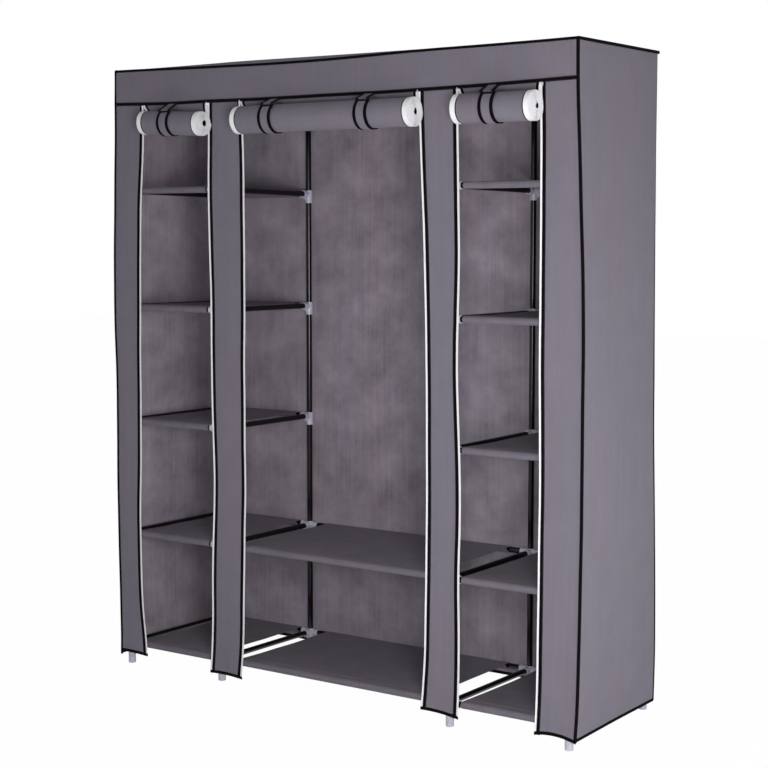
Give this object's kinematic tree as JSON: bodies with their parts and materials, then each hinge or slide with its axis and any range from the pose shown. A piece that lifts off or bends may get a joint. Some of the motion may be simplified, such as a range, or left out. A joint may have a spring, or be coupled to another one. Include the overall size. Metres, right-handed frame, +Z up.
{
  "type": "portable fabric wardrobe",
  "caption": "Portable cloth wardrobe: push-together steel tube frame, cloth shelves, hanging rail and a zipped cover with its doors rolled up and strapped.",
  "frame": {"origin": "on the floor, under the middle of the overall box, rolled doors included", "axes": "+Z up, +X to the viewer's right when looking at the doors, -Y out of the front"},
  "size_m": [1.5, 0.5324, 1.75],
  "materials": {
    "black_steel_tube": "gloss black enamel on steel tube; the plastic connectors are joined to the tubes of their level and share this slot",
    "grey_plastic": "moulded, slightly translucent",
    "shelf_cloth": "non-woven cloth",
    "cover_cloth": "non-woven cloth with black bound edges",
    "zip_tape": "white woven zip tape",
    "zip_metal": "cast slider"
  },
  "bodies": {
    "wardrobe": {"front_upright_1": "black_steel_tube", "front_upright_2": "black_steel_tube", "front_upright_3": "black_steel_tube", "front_upright_4": "black_steel_tube", "back_upright_1": "black_steel_tube", "back_upright_2": "black_steel_tube", "back_upright_3": "black_steel_tube", "back_upright_4": "black_steel_tube", "base_frame": "black_steel_tube", "lower_frame": "black_steel_tube", "left_ring_2": "black_steel_tube", "right_ring_2": "black_steel_tube", "left_ring_3": "black_steel_tube", "right_ring_3": "black_steel_tube", "left_ring_4": "black_steel_tube", "right_ring_4": "black_steel_tube", "top_frame": "black_steel_tube", "hanging_rail": "black_steel_tube", "left_rail_bracket": "grey_plastic", "right_rail_bracket": "grey_plastic", "left_shelf_1": "shelf_cloth", "right_shelf_1": "shelf_cloth", "left_shelf_2": "shelf_cloth", "right_shelf_2": "shelf_cloth", "left_shelf_3": "shelf_cloth", "right_shelf_3": "shelf_cloth", "left_shelf_4": "shelf_cloth", "right_shelf_4": "shelf_cloth", "left_shelf_5": "shelf_cloth", "right_shelf_5": "shelf_cloth", "middle_shelf_1": "shelf_cloth", "middle_shelf_2": "shelf_cloth", "roof_panel": "cover_cloth", "back_panel": "cover_cloth", "left_side_panel": "cover_cloth", "right_side_panel": "cover_cloth", "front_valance": "cover_cloth", "front_strip_1": "cover_cloth", "front_strip_2": "cover_cloth", "front_strip_3": "cover_cloth", "front_strip_4": "cover_cloth", "left_strap": "cover_cloth", "middle_strap_1": "cover_cloth", "middle_strap_2": "cover_cloth", "right_strap": "cover_cloth", "zip_tape_1": "zip_tape", "zip_tape_2": "zip_tape", "zip_tape_3": "zip_tape", "zip_tape_4": "zip_tape", "zip_tape_5": "zip_tape", "zip_tape_6": "zip_tape"},
    "left_door": {"left_door": "cover_cloth"},
    "middle_door": {"middle_door": "cover_cloth"},
    "right_door": {"right_door": "cover_cloth"},
    "zip_slider_1": {"zip_slider_1": "zip_metal"},
    "zip_slider_2": {"zip_slider_2": "zip_metal"},
    "zip_slider_3": {"zip_slider_3": "zip_metal"},
    "zip_slider_4": {"zip_slider_4": "zip_metal"},
    "zip_slider_5": {"zip_slider_5": "zip_metal"},
    "zip_slider_6": {"zip_slider_6": "zip_metal"}
  },
  "joints": [
    {"name": "left_door_drop", "type": "slide", "parent": "wardrobe", "child": "left_door", "axis": [0, 0, -1], "range_m": [0, 1.515], "deforming": ["left_strap"]},
    {"name": "middle_door_drop", "type": "slide", "parent": "wardrobe", "child": "middle_door", "axis": [0, 0, -1], "range_m": [0, 1.515], "deforming": ["middle_strap_1", "middle_strap_2"]},
    {"name": "right_door_drop", "type": "slide", "parent": "wardrobe", "child": "right_door", "axis": [0, 0, -1], "range_m": [0, 1.515], "deforming": ["right_strap"]},
    {"name": "zip_slider_1_pull", "type": "slide", "parent": "wardrobe", "child": "zip_slider_1", "axis": [0, 0, -1], "range_m": [0, 1.585]},
    {"name": "zip_slider_2_pull", "type": "slide", "parent": "wardrobe", "child": "zip_slider_2", "axis": [0, 0, -1], "range_m": [0, 1.585]},
    {"name": "zip_slider_3_pull", "type": "slide", "parent": "wardrobe", "child": "zip_slider_3", "axis": [0, 0, -1], "range_m": [0, 1.585]},
    {"name": "zip_slider_4_pull", "type": "slide", "parent": "wardrobe", "child": "zip_slider_4", "axis": [0, 0, -1], "range_m": [0, 1.585]},
    {"name": "zip_slider_5_pull", "type": "slide", "parent": "wardrobe", "child": "zip_slider_5", "axis": [0, 0, -1], "range_m": [0, 1.585]},
    {"name": "zip_slider_6_pull", "type": "slide", "parent": "wardrobe", "child": "zip_slider_6", "axis": [0, 0, -1], "range_m": [0, 1.585]}
  ]
}
